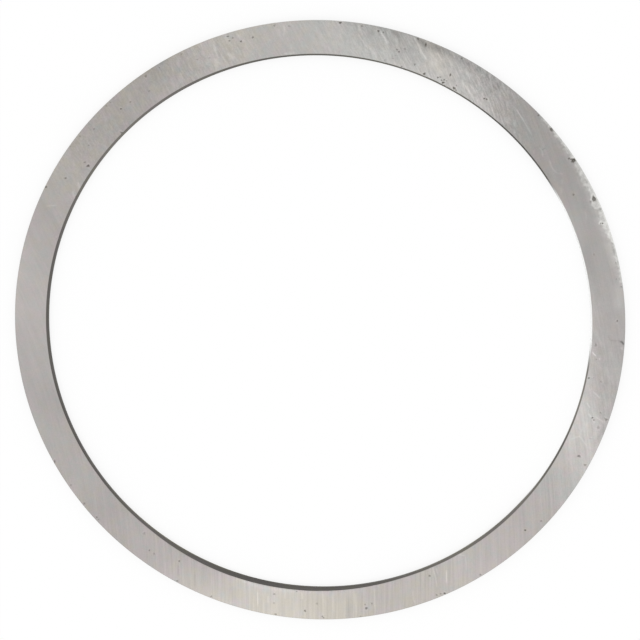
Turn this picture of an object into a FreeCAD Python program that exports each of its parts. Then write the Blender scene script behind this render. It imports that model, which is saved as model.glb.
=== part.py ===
"""Shim ring: a thin flat spacing ring of ground steel, made in one piece.

The ring lies flat. The origin is the middle of its lower face and +Z runs along the bore.
Directions round the ring are in degrees, counted from +X towards +Y.
"""
import FreeCAD, Part
import math
import os

import Sketcher

NODE = "shim_ring"

# Driving sizes, in millimetres and degrees
SIZES = (
    ("bore_diameter", "80"),
    ("band_width", "5"),
    ("thickness", "1"),
    ("outer_edge_break", "0.1"),
    ("bore_edge_break", "0.2"),
    # the stretch of the bore's upper edge that was broken deeper, because the cutter stood off centre
    ("heavy_break_width", "0.45"),
    ("heavy_break_direction", "259.5"),
    ("heavy_break_half_span", "28"),
    # the stretch of the upper outside edge that is rubbed down to a shallow bevel
    ("worn_bevel_width", "0.9"),
    ("worn_bevel_depth", "0.1"),
    ("worn_bevel_direction", "27"),
    ("worn_bevel_half_span", "18"),
    # three dents in the worn stretch, from the top of the ring round to its right
    ("nick_depth", "0.2"),
    ("upper_nick_direction", "41.3"),
    ("upper_nick_inset", "0.15"),
    ("upper_nick_radius", "0.25"),
    ("middle_nick_direction", "34.3"),
    ("middle_nick_inset", "0.25"),
    ("middle_nick_radius", "0.35"),
    ("lower_nick_direction", "26"),
    ("lower_nick_inset", "0.5"),
    ("lower_nick_radius", "0.4"),
)

# Lengths worked out from the driving sizes
BORE_RADIUS = "(Sizes.bore_diameter / 2)"
OUTSIDE_RADIUS = f"({BORE_RADIUS} + Sizes.band_width)"

# The heavy break is a 45 degree cone that stands off the bore's axis: it is deepest in its own
# direction, and half a span to each side it is no wider than the plain edge break
HEAVY_OFFSET = (
    "((Sizes.heavy_break_width - Sizes.bore_edge_break)"
    " / (1 - cos(Sizes.heavy_break_half_span)))"
)
HEAVY_RADIUS = f"({BORE_RADIUS} + Sizes.heavy_break_width - {HEAVY_OFFSET})"

# The worn bevel is a shallow cone round an axis on the far side of the ring's own, for the same reason
WORN_OFFSET = (
    "((Sizes.worn_bevel_width - Sizes.outer_edge_break)"
    " / (1 - cos(Sizes.worn_bevel_half_span)))"
)
WORN_RADIUS = f"({OUTSIDE_RADIUS} - Sizes.worn_bevel_width + {WORN_OFFSET})"


def make_sheet(doc):
    """Write the driving sizes into a sheet, each under its own name."""
    sheet = doc.addObject("Spreadsheet::Sheet", "Sizes")
    for row, (name, value) in enumerate(SIZES, start=1):
        sheet.set(f"A{row}", name)
        sheet.set(f"B{row}", value)
        sheet.setAlias(f"B{row}", name)
    doc.recompute()


def origin_plane(body, role):
    """Find one of the body's own three planes."""
    for feature in body.Origin.OriginFeatures:
        if feature.Role == role:
            return feature
    raise RuntimeError(f"the body has no {role}")


def attach(feature, plane):
    """Lay a sketch or a cutting solid flat on a plane."""
    feature.AttachmentSupport = [(plane, "")]
    feature.MapMode = "FlatFace"


def value_of(feature, expression):
    """Work out a length from the sheet."""
    return float(feature.evalExpression(expression))


def dimension(sketch, kind, elements, name, expression):
    """Add a named dimension to a sketch and tie it to the sheet."""
    value = value_of(sketch, expression)
    index = sketch.addConstraint(Sketcher.Constraint(kind, *elements, value))
    sketch.renameConstraint(index, name)
    sketch.setExpression(f"Constraints.{name}", expression)


def make_blank(doc, body):
    """Pad the flat ring between its outside and its bore."""
    outline = body.newObject("Sketcher::SketchObject", "RingOutline")
    attach(outline, origin_plane(body, "XY_Plane"))
    centre = FreeCAD.Vector(0, 0, 0)
    up = FreeCAD.Vector(0, 0, 1)
    for name, radius in (("outside", OUTSIDE_RADIUS), ("bore", BORE_RADIUS)):
        circle = outline.addGeometry(Part.Circle(centre, up, value_of(outline, radius)), False)
        outline.addConstraint(Sketcher.Constraint("Coincident", circle, 3, -1, 1))
        dimension(outline, "Radius", (circle,), name, radius)
    blank = body.newObject("PartDesign::Pad", "Blank")
    blank.Profile = outline
    blank.setExpression("Length", "Sizes.thickness")
    doc.recompute()
    return blank


def circular_edges(shape, radius):
    """Name the full circles of one radius."""
    names = []
    for number, edge in enumerate(shape.Edges, start=1):
        if isinstance(edge.Curve, Part.Circle) and math.isclose(edge.Curve.Radius, radius):
            names.append(f"Edge{number}")
    return names


def break_edges(doc, body, base, name, radius, size):
    """Chamfer the upper and the lower edge of one of the ring's two walls."""
    chamfer = body.newObject("PartDesign::Chamfer", name)
    chamfer.Base = (base, circular_edges(base.Shape, value_of(base, radius)))
    chamfer.setExpression("Size", size)
    doc.recompute()
    return chamfer


def cut_heavy_break(doc, body):
    """Break the bore's upper edge deeper on one side, with a cone that stands off centre."""
    cone = body.newObject("PartDesign::SubtractiveCone", "HeavyBoreBreak")
    attach(cone, origin_plane(body, "XY_Plane"))
    cone.setExpression("Radius1", f"{HEAVY_RADIUS} - Sizes.thickness")
    cone.setExpression("Radius2", f"{HEAVY_RADIUS} + Sizes.thickness")
    cone.setExpression("Height", "2 * Sizes.thickness")
    cone.setExpression("AttachmentOffset.Base.x", f"{HEAVY_OFFSET} * cos(Sizes.heavy_break_direction)")
    cone.setExpression("AttachmentOffset.Base.y", f"{HEAVY_OFFSET} * sin(Sizes.heavy_break_direction)")
    doc.recompute()
    return cone


def cut_worn_bevel(doc, body):
    """Rub the upper outside edge down on one side, with a shallow cone that stands off centre."""
    section = body.newObject("Sketcher::SketchObject", "WornBevelSection")
    attach(section, origin_plane(body, "XZ_Plane"))
    # across this sketch is +X, up is +Z and out of it is -Y
    section.setExpression("AttachmentOffset.Base.x", f"-{WORN_OFFSET} * cos(Sizes.worn_bevel_direction)")
    section.setExpression("AttachmentOffset.Base.z", f"{WORN_OFFSET} * sin(Sizes.worn_bevel_direction)")

    # the slope starts one bevel width inside the worn edge and ends one bevel width past the rim
    inner_radius = f"{WORN_RADIUS} - Sizes.worn_bevel_width"
    outer_radius = f"{WORN_RADIUS} + 2 * Sizes.worn_bevel_width"
    inner_height = "Sizes.thickness + Sizes.worn_bevel_depth"
    outer_height = "Sizes.thickness - 2 * Sizes.worn_bevel_depth"
    inner = FreeCAD.Vector(value_of(section, inner_radius), value_of(section, inner_height), 0)
    outer = FreeCAD.Vector(value_of(section, outer_radius), value_of(section, outer_height), 0)
    corner = FreeCAD.Vector(outer.x, inner.y, 0)
    slope = section.addGeometry(Part.LineSegment(inner, outer), False)
    side = section.addGeometry(Part.LineSegment(outer, corner), False)
    top = section.addGeometry(Part.LineSegment(corner, inner), False)
    for line, next_line in ((slope, side), (side, top), (top, slope)):
        section.addConstraint(Sketcher.Constraint("Coincident", line, 2, next_line, 1))
    section.addConstraint(Sketcher.Constraint("Vertical", side))
    section.addConstraint(Sketcher.Constraint("Horizontal", top))
    dimension(section, "DistanceX", (-1, 1, slope, 1), "inner_radius", inner_radius)
    dimension(section, "DistanceX", (-1, 1, slope, 2), "outer_radius", outer_radius)
    dimension(section, "DistanceY", (-1, 1, slope, 1), "inner_height", inner_height)
    dimension(section, "DistanceY", (-1, 1, slope, 2), "outer_height", outer_height)

    bevel = body.newObject("PartDesign::Groove", "WornBevel")
    bevel.Profile = section
    bevel.ReferenceAxis = (section, ["V_Axis"])
    bevel.Angle = 360
    doc.recompute()
    return bevel


def cut_nick(doc, body, name):
    """Dent the upper face beside the rim with a ball."""
    nick = body.newObject("PartDesign::SubtractiveSphere", f"{name.title()}Nick")
    attach(nick, origin_plane(body, "XY_Plane"))
    radius = f"Sizes.{name}_nick_radius"
    direction = f"Sizes.{name}_nick_direction"
    reach = f"({OUTSIDE_RADIUS} - Sizes.{name}_nick_inset)"
    nick.setExpression("Radius", radius)
    nick.setExpression("AttachmentOffset.Base.x", f"{reach} * cos({direction})")
    nick.setExpression("AttachmentOffset.Base.y", f"{reach} * sin({direction})")
    nick.setExpression("AttachmentOffset.Base.z", f"Sizes.thickness + {radius} - Sizes.nick_depth")
    doc.recompute()
    return nick


def make_ring(doc):
    """Make the ring: the blank first, then every cut that takes material off it."""
    body = doc.addObject("PartDesign::Body", "ShimRing")
    body.Label = NODE
    body.Placement = FreeCAD.Placement()

    blank = make_blank(doc, body)
    outer_breaks = break_edges(
        doc, body, blank, "OuterEdgeBreaks", OUTSIDE_RADIUS, "Sizes.outer_edge_break"
    )
    bore_breaks = break_edges(
        doc, body, outer_breaks, "BoreEdgeBreaks", BORE_RADIUS, "Sizes.bore_edge_break"
    )
    steps = [blank, outer_breaks, bore_breaks]
    steps.append(cut_heavy_break(doc, body))
    steps.append(cut_worn_bevel(doc, body))
    for name in ("upper", "middle", "lower"):
        steps.append(cut_nick(doc, body, name))

    for before, after in zip(steps, steps[1:]):
        if not after.Shape.Volume < before.Shape.Volume:
            raise RuntimeError(f"{after.Name} takes nothing off the ring")
    return body


def check(doc, body):
    """Stop before anything is written if an object failed or the ring isn't one valid solid."""
    for item in doc.Objects:
        if "Invalid" in item.State or "Error" in item.State:
            raise RuntimeError(f"{item.Name} failed: {item.State}")
    shape = body.Shape
    if shape.isNull() or not shape.isValid() or len(shape.Solids) != 1:
        raise RuntimeError(f"{body.Label} isn't one valid solid")


def main():
    """Build the ring and write it."""
    doc = FreeCAD.newDocument("ShimRingPart")
    make_sheet(doc)
    ring = make_ring(doc)
    check(doc, ring)
    os.makedirs("parts", exist_ok=True)
    ring.Shape.exportStep(f"parts/{ring.Label}.step")


main()
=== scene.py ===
"""Looks of the shim ring: one thin ring of ground steel, lying on a plain pale floor.

Lengths are in metres. Directions round the ring are in degrees, counted from +X towards +Y. Marks that
the photo shows are placed by its pixels, and land where the camera sees that pixel on the upper face.
"""

import math

import bmesh
import bpy
import numpy as np
from mathutils import Matrix, Vector
from mathutils.kdtree import KDTree


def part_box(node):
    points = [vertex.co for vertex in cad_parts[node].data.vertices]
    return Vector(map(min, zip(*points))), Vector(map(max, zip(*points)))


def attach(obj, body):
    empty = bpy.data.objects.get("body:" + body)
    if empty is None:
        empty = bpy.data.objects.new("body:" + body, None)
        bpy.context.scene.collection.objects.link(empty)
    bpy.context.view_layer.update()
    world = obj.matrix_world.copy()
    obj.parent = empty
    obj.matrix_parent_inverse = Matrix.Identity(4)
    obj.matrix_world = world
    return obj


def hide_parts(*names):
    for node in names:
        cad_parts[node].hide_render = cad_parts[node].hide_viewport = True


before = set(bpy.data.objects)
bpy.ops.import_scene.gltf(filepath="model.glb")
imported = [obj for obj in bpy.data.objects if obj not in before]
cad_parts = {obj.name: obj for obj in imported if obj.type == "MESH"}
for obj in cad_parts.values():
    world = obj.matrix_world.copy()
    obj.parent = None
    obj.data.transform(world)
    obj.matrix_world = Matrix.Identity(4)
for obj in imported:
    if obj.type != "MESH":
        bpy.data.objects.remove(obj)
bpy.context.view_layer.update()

MM = 0.001
SEED = 41

# The ring's driving sizes, read from the frame
NODE = "shim_ring"
LOWEST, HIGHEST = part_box(NODE)
NODE_RADII = [vertex.co.xy.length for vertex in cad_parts[NODE].data.vertices]
OUTSIDE_RADIUS = min(-LOWEST.x, -LOWEST.y, HIGHEST.x, HIGHEST.y)
BORE_RADIUS = min(NODE_RADII)
BAND_WIDTH = OUTSIDE_RADIUS - BORE_RADIUS
THICKNESS = HIGHEST.z

# The edges, as in the solid: plain 45 degree breaks, one stretch of the bore's upper edge broken deeper,
# and one stretch of the upper outside edge worn to a shallow bevel
OUTER_BREAK = 0.1 * MM
BORE_BREAK = 0.2 * MM
HEAVY_BREAK = 0.45 * MM
HEAVY_DIRECTION = 259.5
HEAVY_HALF_SPAN = 28
WORN_SLOPE = 0.1 / 0.9

# The camera
PHOTO_PIXELS = 640
SENSOR = 36 * MM
LENS = 120.41 * MM
CAMERA_PLACE = Vector((20.615, 64.343, 308.688)) * MM
CAMERA_AIM = Vector((0.396, 1.282, 1.0)) * MM
CLIP_START = 10 * MM
CLIP_END = 10.0

# The mesh: divisions round the ring, and across each part of its section
ROUND_STEPS = 960
SECTION_STEPS = (
    ("bore wall, upper half", 1),
    ("upper bore break", 2),
    ("upper face", 18),
    ("upper outer break", 2),
    ("outside wall", 3),
    ("lower outer break", 1),
    ("lower face", 9),
    ("lower bore break", 1),
    ("bore wall, lower half", 1),
)
BORE_TOP, FACE_INNER, _, RIM_TOP, RIM_BOTTOM, BACK_OUTER, BACK_INNER, BORE_BOTTOM = range(1, 9)

# An extra division close to each edge of the two faces, as a share of the face's width
FACE_SUPPORT = 0.01

# How near to a whole station a point on that corner of the section is
AT_CORNER = 0.001

# Faces this near to a mark, in pixels, are split once, and those near to a small one twice
COARSE_MARGIN = 2.2
FINE_MARGIN = 0.9

# How far apart the circles are that cover a stroke, in pixels
CIRCLE_STEP = 1.5

# How much wider the bore's edge break is: direction, half width in degrees, and millimetres
BREAK_WAVER = ((118, 12, 0.07), (148, 42, 0.14), (184, 16, 0.04), (246, 24, 0.08), (312, 14, 0.08))

# The worn bevel's ragged inner border: direction, and millimetres in from the rim
WORN_BORDER = (
    (8, 0), (10, 0.2), (13, 0.3), (17.5, 0.25), (18.4, 0.4), (19.2, 0.85), (20.1, 0.8), (21.3, 0.95),
    (22.5, 0.95), (23.4, 0.55), (24.5, 0.95), (26, 1), (27, 0.75), (28.5, 0.7), (30.5, 0.95), (32, 0.65),
    (34.5, 0.3), (36, 0.45), (39.5, 0.35), (41, 0.15), (42, 0.22), (43.6, 0.18), (45, 0),
)

# Dents through the rim's corner: x, y, width and height in pixels, and how dark they are, from 0 to 1
NICKS = (
    (551.3, 129.4, 3.8, 4.6, 0.82),
    (573.7, 160.5, 6, 4.8, 1),
    (594, 199, 4.6, 7.2, 0.88),
)

# Pits, in the same form, from the top of the ring round to its left
PITS = (
    (340.3, 22.8, 3.2, 2.6, 1), (361.9, 26, 2.6, 2, 0.75), (378.4, 31, 2.4, 3.4, 0.9),
    (383.2, 32.2, 2.2, 2.4, 0.7), (396.9, 49.4, 2, 2, 0.7), (399.1, 51.7, 2.2, 2.2, 0.8),
    (404.9, 48.8, 2.2, 3, 0.6), (393, 58.4, 2, 1.8, 0.5), (395.2, 55.6, 1.6, 1.6, 0.5),
    (384.8, 60, 1.8, 1.8, 0.5), (401.6, 66.4, 2.2, 2.2, 0.7), (414.9, 64.3, 2, 3.4, 0.72),
    (424.3, 73.8, 3.4, 3, 0.95), (425.7, 45, 2.6, 4.6, 1), (418.1, 38.8, 3, 2.2, 0.8),
    (437.9, 77.4, 2.8, 1.9, 0.9), (440.2, 77, 2.4, 1.6, 0.8), (441.6, 80.2, 2.4, 1.8, 0.85),
    (444.2, 79.8, 2.4, 1.8, 0.9), (443.2, 82.6, 4, 2.4, 1), (446.6, 80.8, 2.2, 1.4, 0.75),
    (444.6, 85.4, 2.8, 1.6, 0.8), (450.3, 74.9, 2.3, 3.8, 1), (454.2, 88.2, 3.6, 3.4, 1),
    (456.4, 85.4, 1.6, 2, 0.7), (456, 90, 2.4, 1.8, 0.85), (453.2, 90.6, 1.4, 1.4, 0.5),
    (461.8, 58.3, 3.2, 2.4, 0.65), (477.2, 66.8, 1.8, 1.6, 0.45), (484.3, 98.5, 2.6, 1.7, 0.9),
    (486.8, 99.2, 2.4, 1.9, 1), (181.5, 53.8, 2.4, 2.4, 0.65), (145.7, 76, 2.6, 4, 0.7),
    (159.4, 67.5, 1.6, 1.6, 0.6), (197.3, 59.2, 2.8, 2.4, 0.5), (209.3, 57.8, 2.2, 2, 0.5),
    (227.8, 36.3, 3, 2.2, 0.75), (229.3, 40.8, 2.4, 2.4, 0.72), (232.8, 37.8, 2.2, 2.2, 0.75),
    (241, 41.3, 2.4, 2.2, 0.85), (252.8, 37.2, 2.4, 3, 0.85), (274.4, 25.4, 2.6, 3.2, 0.65),
    (289.3, 26, 3.8, 1.5, 0.65), (538.4, 115.3, 2.3, 2, 0.9), (549.9, 127.1, 1.8, 1.9, 0.6),
    (569, 158.6, 2.8, 2.2, 0.9), (571, 159.4, 2.6, 2, 1), (573.6, 194.5, 3, 2.6, 0.7),
    (602.6, 223.4, 2, 2, 1), (600.6, 223.4, 1.8, 1.8, 0.9), (594, 254.2, 1.8, 3.4, 0.45),
    (612.4, 243, 1.8, 1.8, 0.6), (615.8, 262.6, 2, 2.4, 0.65), (616.4, 278.9, 1.8, 1.8, 0.6),
    (621.2, 286.6, 2, 1.6, 0.6), (617.3, 320.9, 1.9, 2.4, 0.85), (596, 344.8, 2.2, 4.2, 0.6),
    (596.5, 359.1, 1.8, 1.4, 0.5), (588.9, 378, 3, 1.8, 0.85), (593.8, 377.7, 1.6, 1.2, 0.5),
    (601.3, 381.4, 2.6, 2.6, 0.45), (600.7, 412.6, 2.4, 2.2, 0.5), (606.3, 419.4, 3.2, 3.4, 0.62),
    (604.8, 418.2, 2.2, 2, 0.5), (592.4, 417.8, 2.8, 1.8, 0.85), (593.9, 420, 2.2, 2.2, 0.75),
    (598.5, 427.2, 3.6, 3.8, 0.47), (590.2, 438, 3.6, 1, 0.25), (579, 456.1, 5, 2.8, 0.72),
    (585.2, 464.8, 3.2, 2.8, 0.62), (541.3, 520.9, 2.4, 2.4, 0.55), (525.2, 530.2, 2.4, 2.2, 0.95),
    (480.5, 574.6, 2.2, 2.2, 0.55), (429.7, 575.7, 2.4, 2.4, 0.7), (436.7, 594.8, 1.8, 2, 0.55),
    (444.7, 593.3, 2.6, 2.2, 0.9), (440.7, 593.6, 1.8, 1.8, 0.5), (366.4, 608.1, 2.8, 2.6, 0.75),
    (365.2, 604.3, 1.6, 1.6, 0.5), (372, 603.3, 2, 2.2, 0.38), (360.6, 616.2, 1.8, 1.5, 0.55),
    (305, 610.7, 2.4, 2.6, 0.8), (317.1, 603.4, 2.2, 2, 0.22), (322.4, 616.4, 2, 2, 0.65),
    (323.6, 617.8, 1.8, 1.6, 0.7), (296.6, 591.3, 2, 1, 0.6), (274.3, 594, 2.8, 2.2, 0.4),
    (275.6, 614.2, 3, 1.8, 0.58), (274, 602.9, 2, 2, 0.2), (211.2, 596.3, 2, 1.6, 0.6),
    (179.2, 561, 2, 2.2, 0.65), (177.2, 580.8, 2.8, 1.9, 0.55), (149.4, 550.2, 2.2, 1.8, 0.6),
    (154, 553.6, 1.6, 3, 0.3), (144.2, 533.2, 1.8, 3, 0.4), (98.2, 519.2, 1.8, 1.8, 0.5),
    (96.7, 517.1, 2.2, 2.2, 0.55), (84.3, 503.4, 2.4, 2.4, 0.55), (70.8, 485, 2.2, 2, 0.5),
    (54.7, 461.5, 1.5, 4.6, 0.8), (97.4, 471.2, 2, 2, 0.6), (99.9, 475.3, 2, 2, 0.6),
    (56.8, 238, 1.8, 1.8, 0.3), (46, 186.9, 2.9, 2.6, 1), (65.5, 178, 3.2, 2.2, 0.75),
    (76, 196.6, 2.2, 2.6, 0.7), (88.1, 165.9, 4.2, 3, 0.95), (84.8, 162.1, 2.8, 2.6, 0.6),
    (88.8, 145.1, 1.8, 1.8, 0.8), (94, 128.9, 2.2, 2.2, 0.65), (79.8, 136.2, 2.4, 2.6, 0.6),
    (83.5, 138.9, 1.6, 1.8, 0.4), (70.2, 146.6, 1.8, 2, 0.5), (121, 108.8, 2.2, 2.2, 0.9),
    (130.4, 101.8, 2.2, 2.4, 0.55), (149.1, 91, 2.4, 2.2, 0.55), (121.8, 132.7, 3.2, 2.2, 0.85),
    (120.4, 131.4, 1.6, 1.6, 0.45), (106.4, 105.8, 2.2, 2.2, 0.55), (110.6, 102, 2.2, 2.2, 0.55),
)

# Fine scratches: width in pixels, how much lighter or darker than the face, and the way they run, in pixels
SCRATCHES = (
    (1, 0.2, (513.8, 106), (522, 118), (531.4, 134.6)),
    (0.9, 0.14, (517.6, 111), (524, 121.5)),
    (0.9, -0.18, (545.5, 147.6), (541.8, 150.2)),
    (0.9, 0.2, (539, 148), (541.8, 150.2), (542.8, 157)),
    (1, 0.16, (549.4, 159.6), (551.4, 166.6), (554.4, 171), (558.2, 173.8)),
    (0.9, 0.12, (559, 173.2), (563, 174)),
    (0.8, 0.62, (592.3, 352.4), (595.9, 356)),
    (1.3, 0.42, (599.2, 358.8), (599.8, 359.4)),
    (1.4, 0.35, (615.4, 320.4), (615.8, 320.8)),
    (1.3, 0.25, (616.4, 323), (616.8, 323.2)),
    (1.1, 0.22, (592.8, 391.3), (600.2, 398.6)),
    (1.1, 0.22, (586.4, 402.4), (590, 408.2)),
    (1.7, 0.28, (588.4, 413.6), (591.2, 418)),
    (1.5, 0.22, (592.4, 419.6), (594.8, 423.4)),
    (1.2, 0.18, (594.4, 416.3), (603.8, 422.6)),
    (1.4, 0.14, (570, 439.6), (579.4, 436.4), (588.2, 447.8)),
    (1.2, 0.12, (579.4, 436.4), (581.6, 428.8)),
    (0.9, -0.14, (608, 336), (611, 340.6), (620.4, 340.8)),
    (1.6, -0.62, (620.2, 341.2), (622.4, 342.4), (623.8, 344.9)),
    (1.6, 0.2, (620.4, 347.4), (622.8, 349.6)),
    (1.1, 0.32, (446.4, 570), (446.4, 583.6)),
    (1, 0.2, (432.8, 568), (435.6, 578), (436.9, 588)),
    (1, 0.18, (436.2, 568), (437.2, 574)),
    (0.9, 0.14, (465.6, 557.2), (466.4, 571)),
    (0.9, 0.14, (459, 555), (464.4, 555.8)),
    (1.2, 0.13, (412.6, 590), (413.2, 600), (415.6, 603.6)),
    (1.1, 0.18, (374.2, 588), (374.8, 610)),
    (1.2, 0.24, (257.5, 591), (257.7, 606)),
    (1.4, 0.16, (268, 596), (268, 603.4)),
    (1.4, 0.16, (285, 590), (285, 599.4)),
    (1.2, 0.16, (302.2, 593), (302.6, 599.6)),
    (1, 0.16, (46, 206.2), (56, 205.4)),
    (1.8, 0.18, (72.8, 190.6), (74, 197.4)),
    (1.8, 0.18, (78.2, 182), (79.4, 188.6)),
    (1.2, 0.12, (89.4, 147), (94.8, 155)),
    (1.4, -0.14, (177.9, 564), (178, 575.6)),
    (1.6, -0.08, (194.5, 572), (194.9, 587)),
)

# Broad soft lighter and darker streaks, partly painted light and shade, in the same form
SOFT_STREAKS = (
    (1.8, 0.26, (358, 24.6), (359.2, 29), (360.4, 31)),
    (1.8, 0.14, (358, 32), (360.4, 37.4), (364.6, 43.6), (370, 50), (374.6, 54.4)),
    (1.6, 0.18, (362.6, 36.4), (364.4, 41.4), (371, 49.6), (376.4, 54.6)),
    (2.6, 0.12, (364.6, 45.6), (366, 52)),
    (1.4, -0.1, (360, 33.6), (366, 44.6), (372.4, 54)),
    (1.8, 0.38, (380.2, 30), (382, 34.6), (384.8, 38.2), (387.4, 44)),
    (1.6, -0.12, (378.4, 29), (381.4, 35.6), (384.6, 40.2)),
    (3.4, 0.13, (388.6, 29.6), (390.4, 36.4)),
    (2.4, 0.1, (391.6, 38), (396.4, 41), (398, 46.4)),
    (3.6, -0.15, (391.6, 31.6), (396, 33.6), (399.4, 38.6)),
    (2.4, -0.1, (399.6, 38.6), (400, 44.6)),
    (4, 0.06, (402, 36), (406, 41), (408.6, 50)),
    (2.6, 0.09, (406, 34.6), (411, 38), (413.4, 44)),
    (2, 0.38, (414.2, 37.4), (417.6, 42.6), (419.6, 47)),
    (2.2, 0.46, (419.6, 47), (421.4, 52), (424.6, 56.6), (427, 60.4)),
    (4.4, -0.24, (415, 38.2), (421, 42), (427, 45.6)),
    (5.6, -0.2, (428, 43.6), (442, 50.4)),
    (5, 0.1, (425.6, 48.6), (431, 58), (436, 68)),
    (9, 0.17, (431, 54), (438.6, 66), (443, 76)),
    (1.6, 0.24, (436.6, 51.6), (439.4, 56), (442.6, 62.6)),
    (7.6, -0.24, (438, 47.2), (457, 56.8), (475, 68)),
    (9, -0.12, (468, 64.6), (486, 76), (502, 90)),
    (1.5, 0.16, (449.6, 60), (451, 65), (451.6, 71)),
    (1.7, 0.22, (461.4, 81), (466.6, 88.4), (470.6, 93), (473.8, 98.6)),
    (4.4, 0.16, (475.4, 99.4), (484, 106.4)),
    (4, 0.12, (486, 105), (498, 118.6)),
    (1.6, -0.07, (489, 88), (494, 102), (500, 118)),
    (2, 0.09, (500.4, 84), (508, 97)),
    (1.4, 0.1, (494.6, 96), (499.4, 108), (503.6, 118)),
    (3, 0.16, (505.6, 117), (511, 126.4)),
    (2, 0.16, (513, 121.4), (515, 127)),
    (2, 0.14, (212.6, 40), (214.2, 46), (216, 54), (218.4, 62)),
    (1.6, -0.08, (215.6, 40.6), (218, 48), (220.6, 57)),
    (2.4, 0.16, (212.6, 58), (216, 60.6), (219.4, 64.6)),
    (2.8, 0.2, (226.6, 52.6), (230, 55.6), (233.6, 59.4)),
    (2.4, 0.1, (238, 34.6), (240, 38.4)),
    (2.4, 0.12, (242.6, 39.6), (244.4, 41.4)),
    (1.8, 0.12, (225.6, 35.6), (228.6, 43.6)),
    (1.8, 0.16, (284, 24.6), (284.4, 30), (283.6, 36)),
    (2, 0.1, (278.6, 28), (279.4, 36)),
    (1.4, 0.22, (283.6, 53.8), (296, 52.8)),
    (1.8, 0.1, (290, 44), (291.8, 50)),
    (2, 0.12, (178, 58.6), (178.8, 68)),
    (1.8, 0.12, (172.4, 66), (173, 71.6)),
    (3, 0.1, (182, 72), (181, 83)),
    (2, -0.06, (205, 55), (203, 72)),
    (3, 0.04, (600, 300), (604, 318)),
    (3, 0.1, (594.6, 328), (598.6, 338), (604.2, 348.6)),
    (3, 0.09, (605, 366), (608, 373), (610.4, 382)),
    (1.6, 0.1, (585, 210), (586.8, 220)),
    (2.2, 0.1, (562.2, 179), (562.2, 184)),
    (2, 0.1, (561.4, 187), (561.4, 193)),
    (4, -0.12, (603, 428), (596, 444)),
    (3, 0.1, (236, 577.6), (262, 587.6)),
    (2.6, 0.08, (262, 587.6), (300, 592)),
    (9, -0.06, (232, 586), (234, 602)),
    (2.4, 0.1, (332, 592), (334, 614)),
    (3, 0.08, (322, 592), (324.6, 604)),
    (2, 0.1, (354.6, 592), (356.6, 614)),
    (1.6, -0.07, (348, 594), (349, 616)),
    (1.6, -0.08, (362, 592), (361, 614)),
    (7, 0.15, (605.4, 240), (610.4, 254), (614.6, 268)),
    (8, 0.12, (618.6, 284), (619, 310)),
)

# How deep the marks go
NICK_DEPTH = 0.2 * MM
PIT_DEPTH = 0.05 * MM
SCRATCH_DEPTH = 0.006 * MM

# A pit's radius and reach as shares of its width, and the lobes of its outline: how many, and their size
PIT_RADIUS = 0.46
PIT_REACH = 1.6
PIT_LOBES = ((2, 0.12), (3, 0.14), (5, 0.08))

# In shares of a pit's radius: where its bowl and its shade end and how far in they are full, and its lip,
# where a highlight is painted
BOWL_END, BOWL_SLOPE = 1.1, 0.9
SHADE_END, SHADE_SLOPE = 1.25, 0.85
LIP_PLACE, LIP_WIDTH = 1.4, 0.25
LIP_HIGHLIGHT = 0.16

# How dark the darkest pit is, and the power that keeps the faint ones faint
PIT_DARKEST = 0.9
PIT_EASE = 1.6

# How fast a stroke fades to its sides and thins out towards its ends, and what is left of it there
STROKE_FALL = 0.7
STROKE_TAPER = 3
STROKE_END = 0.35

# Painted sheen and shade: slow changes of tone round the ring, where the grinding lines catch more or less
# light, which lean with them: direction at the middle of the face, half width in degrees, and change of tone
SHEEN_AND_SHADE_ZONES = (
    (22, 9, -0.08), (42, 13, -0.13), (61, 8, 0.2), (86, 16, 0.2), (108, 8, 0.14), (119, 9, -0.045),
    (134, 9, -0.06), (150, 4, 0.06), (174, 10, 0.1), (197, 8, -0.04), (224, 18, -0.09), (260, 11, 0.21),
    (274, 7, 0.06), (301, 5, 0.05), (312, 6, 0.02), (339, 9, 0.34), (355, 6, 0.045),
)

# How strongly the zones lean, how far at most in degrees, and what holds the lean back where the grinding
# lines run round the ring
ZONE_LEAN = 0.7
MOST_LEAN = 6
LEAN_SOFTENING = 20 * MM

# In the same form, how much lighter the face is at the rim, and darker at the bore, than in the middle
ACROSS_ZONES = (
    (12, 9, 0.08), (28, 8, -0.11), (71, 11, -0.21), (120, 6, -0.06), (180, 12, 0.05), (245, 8, 0.09),
    (344, 18, -0.07),
)

# In the same form, after what holds elsewhere: how strong the grinding lines are, how strong the painted
# light and shade of ripples and of small grainy ridges is, how warm the face is, and how much its tints
# differ
SURFACE_ZONES = {
    "lines": (0.4, ((270, 34, 0.9), (70, 24, 0.15), (118, 10, 0.3), (340, 24, 0.4))),
    "ripple_shading": (0, ((72, 18, 0.7), (110, 10, 0.5), (350, 14, 0.5))),
    "grain_and_ridge_shading": (0, ((55, 9, 0.9), (76, 14, 0.6), (112, 14, 0.45), (140, 12, 0.35), (345, 20, 0.3))),
    "warm": (0, (
        (78, 22, -0.34), (160, 25, 0.17), (210, 9, 0.15), (228, 20, 0.25), (286, 8, 0.25), (312, 10, 0.4),
        (340, 8, -0.15),
    )),
    "tinge": (1, ((5, 25, -0.6), (68, 22, -0.65), (182, 22, -0.4))),
}

# In the same form: where the face is yellower, and where the painted dark reflection in the bore is lighter
YELLOW_ZONES = (
    (66, 3, 0.45), (110, 14, 0.28), (132, 10, 0.28), (149, 6, 0.4), (246, 8, 0.25), (256, 6, 0.2),
    (270, 11, 0.85), (292, 8, 0.45),
)
DARK_REFLECTION_ZONES = (
    (45, 8, -0.25), (67, 10, 0.35), (135, 26, 0.65), (232, 12, 0.2), (305, 16, 0.6), (322, 7, 0.5),
    (347, 9, 1.1),
)

# How much darker the painted dark reflection is on the edge break than on the wall below it, and where the
# wall's is yellower
BREAK_TONE = -0.18
WALL_YELLOW_ZONES = ((240, 20, 1), (308, 18, 0.6))

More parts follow.
